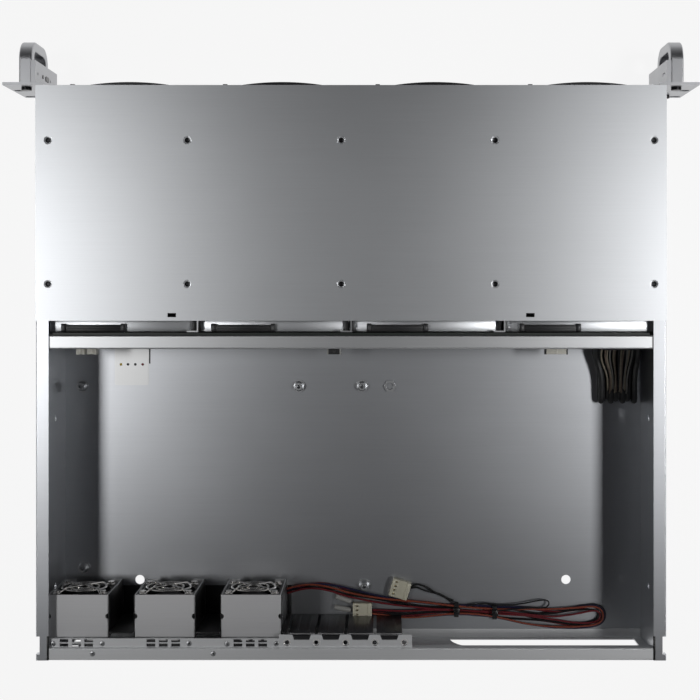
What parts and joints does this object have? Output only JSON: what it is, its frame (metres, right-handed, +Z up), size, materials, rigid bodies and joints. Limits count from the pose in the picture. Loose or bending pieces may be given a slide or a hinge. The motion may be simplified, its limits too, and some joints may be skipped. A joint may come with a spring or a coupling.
{
  "type": "empty rackmount server case",
  "caption": "Short rackmount server case without its top cover or boards: drive trays and pull handles in front, three small fans, card slots and a supply opening at the rear.",
  "frame": {"origin": "underside of the floor, midway between the side walls and between the front edge and the rear face", "axes": "+Z up, the front with the drive trays and handles faces -Y, +X to the side with the fans"},
  "size_m": [0.4826, 0.4314, 0.066],
  "materials": {
    "black_steel": "black oxide",
    "board_green": "solder mask",
    "bracket_steel": "satin",
    "brushed_steel": "brushed",
    "button_plastic": "moulded black",
    "cable_cover": "vinyl wire covers",
    "chrome_wire": "polished",
    "clear_plastic": "clear moulding",
    "cover_steel": "galvanised, satin",
    "ear_aluminium": "satin",
    "fan_plastic": "moulded black",
    "handle_aluminium": "satin anodised",
    "header_plastic": "moulded natural",
    "lever_plastic": "moulded black",
    "pan_steel": "galvanised, satin",
    "panel_steel": "galvanised, satin",
    "plug_plastic": "moulded natural",
    "socket_plastic": "moulded black",
    "tie_plastic": "black nylon",
    "tray_plastic": "moulded black",
    "wire_cover": "vinyl wire covers",
    "zinc_steel": "zinc plated"
  },
  "bodies": {
    "chassis": {"backplane_board": "board_green", "backplane_headers": "header_plastic", "base_pan": "pan_steel", "board_standoffs": "zinc_steel", "cable_ties": "tie_plastic", "cage_divider_1": "zinc_steel", "cage_divider_2": "zinc_steel", "cage_divider_3": "zinc_steel", "cover_screws": "black_steel", "crossbar": "brushed_steel", "drive_bay_cover": "cover_steel", "drive_sockets": "socket_plastic", "ear_bracket_left": "ear_aluminium", "ear_bracket_right": "ear_aluminium", "fan_bracket_1": "bracket_steel", "fan_bracket_2": "bracket_steel", "fan_bracket_3": "bracket_steel", "fan_frame_1": "fan_plastic", "fan_frame_2": "fan_plastic", "fan_frame_3": "fan_plastic", "fan_guard_1": "chrome_wire", "fan_guard_2": "chrome_wire", "fan_guard_3": "chrome_wire", "fan_lead_branch": "wire_cover", "fan_lead_main": "wire_cover", "fan_screws": "chrome_wire", "handle_left": "handle_aluminium", "handle_right": "handle_aluminium", "handle_screws": "zinc_steel", "lead_plug_branch": "plug_plastic", "lead_plug_main": "plug_plastic", "light_pipes": "clear_plastic", "panel_cable": "cable_cover", "rear_panel": "panel_steel", "slot_cover_1": "zinc_steel", "slot_cover_2": "zinc_steel", "slot_cover_3": "zinc_steel", "slot_cover_4": "zinc_steel"},
    "tray_1": {"drive_tray_1": "tray_plastic"},
    "lever_1": {"tray_lever_1": "lever_plastic"},
    "tray_2": {"drive_tray_2": "tray_plastic"},
    "lever_2": {"tray_lever_2": "lever_plastic"},
    "tray_3": {"drive_tray_3": "tray_plastic"},
    "lever_3": {"tray_lever_3": "lever_plastic"},
    "tray_4": {"drive_tray_4": "tray_plastic"},
    "lever_4": {"tray_lever_4": "lever_plastic"},
    "tray_5": {"drive_tray_5": "tray_plastic"},
    "lever_5": {"tray_lever_5": "lever_plastic"},
    "tray_6": {"drive_tray_6": "tray_plastic"},
    "lever_6": {"tray_lever_6": "lever_plastic"},
    "tray_7": {"drive_tray_7": "tray_plastic"},
    "lever_7": {"tray_lever_7": "lever_plastic"},
    "tray_8": {"drive_tray_8": "tray_plastic"},
    "lever_8": {"tray_lever_8": "lever_plastic"},
    "rotor_1": {"fan_rotor_1": "fan_plastic"},
    "rotor_2": {"fan_rotor_2": "fan_plastic"},
    "rotor_3": {"fan_rotor_3": "fan_plastic"},
    "power_switch": {"power_button": "button_plastic"},
    "reset_switch": {"reset_button": "button_plastic"}
  },
  "joints": [
    {"name": "tray_1_slide", "type": "slide", "parent": "chassis", "child": "tray_1", "axis": [0, -1, 0], "range_m": [0, 0.165]},
    {"name": "lever_1_hinge", "type": "hinge", "parent": "tray_1", "child": "lever_1", "pos_m": [0.1133, -0.19486, 0.0468], "axis": [0, 0, -1], "range_deg": [0, 60]},
    {"name": "tray_2_slide", "type": "slide", "parent": "chassis", "child": "tray_2", "axis": [0, -1, 0], "range_m": [0, 0.165]},
    {"name": "lever_2_hinge", "type": "hinge", "parent": "tray_2", "child": "lever_2", "pos_m": [0.0069, -0.19486, 0.0468], "axis": [0, 0, -1], "range_deg": [0, 60]},
    {"name": "tray_3_slide", "type": "slide", "parent": "chassis", "child": "tray_3", "axis": [0, -1, 0], "range_m": [0, 0.165]},
    {"name": "lever_3_hinge", "type": "hinge", "parent": "tray_3", "child": "lever_3", "pos_m": [-0.0995, -0.19486, 0.0468], "axis": [0, 0, -1], "range_deg": [0, 60]},
    {"name": "tray_4_slide", "type": "slide", "parent": "chassis", "child": "tray_4", "axis": [0, -1, 0], "range_m": [0, 0.165]},
    {"name": "lever_4_hinge", "type": "hinge", "parent": "tray_4", "child": "lever_4", "pos_m": [-0.2059, -0.19486, 0.0468], "axis": [0, 0, -1], "range_deg": [0, 60]},
    {"name": "tray_5_slide", "type": "slide", "parent": "chassis", "child": "tray_5", "axis": [0, -1, 0], "range_m": [0, 0.165]},
    {"name": "lever_5_hinge", "type": "hinge", "parent": "tray_5", "child": "lever_5", "pos_m": [0.1133, -0.19486, 0.0164], "axis": [0, 0, -1], "range_deg": [0, 60]},
    {"name": "tray_6_slide", "type": "slide", "parent": "chassis", "child": "tray_6", "axis": [0, -1, 0], "range_m": [0, 0.165]},
    {"name": "lever_6_hinge", "type": "hinge", "parent": "tray_6", "child": "lever_6", "pos_m": [0.0069, -0.19486, 0.0164], "axis": [0, 0, -1], "range_deg": [0, 60]},
    {"name": "tray_7_slide", "type": "slide", "parent": "chassis", "child": "tray_7", "axis": [0, -1, 0], "range_m": [0, 0.165]},
    {"name": "lever_7_hinge", "type": "hinge", "parent": "tray_7", "child": "lever_7", "pos_m": [-0.0995, -0.19486, 0.0164], "axis": [0, 0, -1], "range_deg": [0, 60]},
    {"name": "tray_8_slide", "type": "slide", "parent": "chassis", "child": "tray_8", "axis": [0, -1, 0], "range_m": [0, 0.165]},
    {"name": "lever_8_hinge", "type": "hinge", "parent": "tray_8", "child": "lever_8", "pos_m": [-0.2059, -0.19486, 0.0164], "axis": [0, 0, -1], "range_deg": [0, 60]},
    {"name": "fan_1_spin", "type": "hinge", "parent": "chassis", "child": "rotor_1", "pos_m": [0.1909, 0.17, 0.0349], "axis": [0, 1, 0], "continuous": true},
    {"name": "fan_2_spin", "type": "hinge", "parent": "chassis", "child": "rotor_2", "pos_m": [0.1305, 0.17, 0.0349], "axis": [0, 1, 0], "continuous": true},
    {"name": "fan_3_spin", "type": "hinge", "parent": "chassis", "child": "rotor_3", "pos_m": [0.0701, 0.17, 0.0349], "axis": [0, 1, 0], "continuous": true},
    {"name": "power_press", "type": "slide", "parent": "chassis", "child": "power_switch", "axis": [1, 0, 0], "range_m": [0, 0.0006], "stiffness_N_per_m": 500},
    {"name": "reset_press", "type": "slide", "parent": "chassis", "child": "reset_switch", "axis": [1, 0, 0], "range_m": [0, 0.0006], "stiffness_N_per_m": 500}
  ]
}
